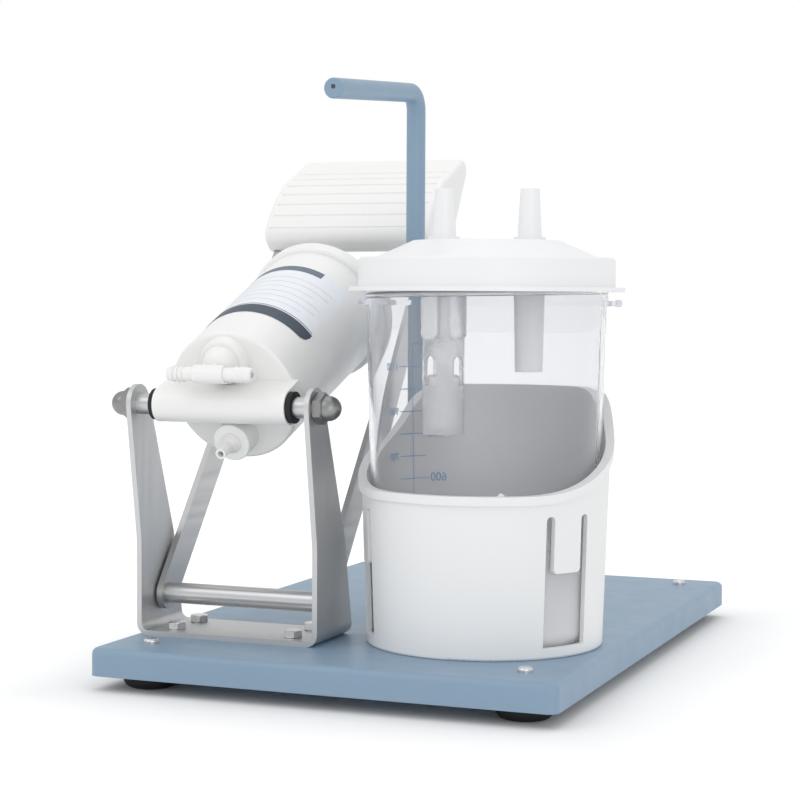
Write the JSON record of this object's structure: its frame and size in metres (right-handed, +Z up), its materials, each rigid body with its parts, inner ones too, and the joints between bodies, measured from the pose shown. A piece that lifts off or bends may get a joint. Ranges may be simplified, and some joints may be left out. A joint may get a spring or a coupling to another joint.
{
  "type": "foot-operated vacuum aspirator",
  "caption": "Foot-operated suction unit: a tilting treadle pump in a steel bracket and a clear collection jar in a scooped holder, on a painted base plate with a rod handle.",
  "frame": {"origin": "on the floor, under the middle of the overall width and depth", "axes": "+X to the right, +Y to the back where the pedal points, +Z up"},
  "size_m": [0.2352, 0.33, 0.2885],
  "materials": {
    "plate_paint": "satin",
    "black_rubber": "matte",
    "clear_rubber": "satin",
    "zinc_steel": "satin",
    "brushed_steel": "brushed",
    "bright_steel": "polished",
    "brass": "satin",
    "white_plastic": "gloss",
    "holder_plastic": "satin",
    "bearing_plastic": "satin",
    "clear_plastic": "clear",
    "frosted_plastic": "translucent"
  },
  "bodies": {
    "base": {"base_plate": "plate_paint", "rubber_feet": "black_rubber", "foot_screws": "zinc_steel", "foot_nuts": "zinc_steel", "pivot_bracket": "brushed_steel", "bracket_bolts": "zinc_steel", "bracket_washers": "zinc_steel", "bracket_nuts": "zinc_steel", "upper_axle": "bright_steel", "axle_spacers": "brushed_steel", "axle_nuts": "bright_steel", "lower_pivot_pin": "bright_steel", "carry_handle": "plate_paint", "handle_nut": "zinc_steel", "jar_holder": "holder_plastic", "holder_screws": "zinc_steel", "holder_nuts": "zinc_steel"},
    "treadle": {"lever_arm_left": "brushed_steel", "lever_arm_right": "brushed_steel", "lever_cross_tube": "brushed_steel", "rod_cross_pin": "bright_steel", "rod_pin_nuts": "bright_steel", "rod_pin_spacers": "brushed_steel", "pedal_shell": "white_plastic", "pedal_pin": "brass"},
    "pump": {"pump_barrel": "white_plastic", "front_cap": "white_plastic", "front_cap_seal": "black_rubber", "rear_cap": "white_plastic", "rod_guide_bush": "bearing_plastic", "axle_bushes": "black_rubber", "inlet_valve_housing": "white_plastic", "tee_connector": "white_plastic", "outlet_valve_housing": "white_plastic", "exhaust_nozzle": "white_plastic", "inlet_flap": "black_rubber", "outlet_flap": "black_rubber", "return_spring": "zinc_steel"},
    "piston": {"piston_rod": "bright_steel", "piston_head": "bearing_plastic", "piston_cup": "black_rubber", "piston_nut": "zinc_steel"},
    "jar": {"jar_body": "clear_plastic"},
    "seal": {"lid_seal": "clear_rubber"},
    "lid": {"lid_shell": "white_plastic", "float_cage": "frosted_plastic", "cage_cap": "frosted_plastic", "drop_tube": "frosted_plastic"},
    "float": {"float_body": "bearing_plastic"}
  },
  "joints": [
    {"name": "pedal_press", "type": "hinge", "parent": "base", "child": "treadle", "pos_m": [-0.05855, -0.104, 0.038], "axis": [-1, 0, 0], "range_deg": [0, 30], "stiffness_Nm_per_rad": 8, "springref_deg": -17.19},
    {"name": "pump_tilt", "type": "hinge", "parent": "base", "child": "pump", "pos_m": [-0.05855, -0.126, 0.131], "axis": [-1, 0, 0], "range_deg": [0, 29.5]},
    {"name": "piston_slide", "type": "slide", "parent": "pump", "child": "piston", "axis": [0, 0.929, 0.3701], "range_m": [0, 0.0495], "deforming": ["return_spring"]},
    {"name": "jar_lift", "type": "slide", "parent": "base", "child": "jar", "axis": [0, 0, 1], "range_m": [0, 0.055]},
    {"name": "lid_rise", "type": "slide", "parent": "jar", "child": "seal", "axis": [0, 0, 1], "range_m": [0, 0.009]},
    {"name": "lid_turn", "type": "hinge", "parent": "seal", "child": "lid", "pos_m": [0.05295, -0.0755, 0.2], "axis": [0, 0, 1], "range_deg": [0, 540]},
    {"name": "float_rise", "type": "slide", "parent": "lid", "child": "float", "axis": [0, 0, 1], "range_m": [0, 0.016]}
  ],
  "couplings": [
    {"joint": "pump_tilt", "follows": "pedal_press", "ratio": 0.965},
    {"joint": "piston_slide", "follows": "pedal_press", "m_per_rad": 0.0942},
    {"joint": "lid_turn", "follows": "lid_rise", "rad_per_m": 1047.1}
  ]
}
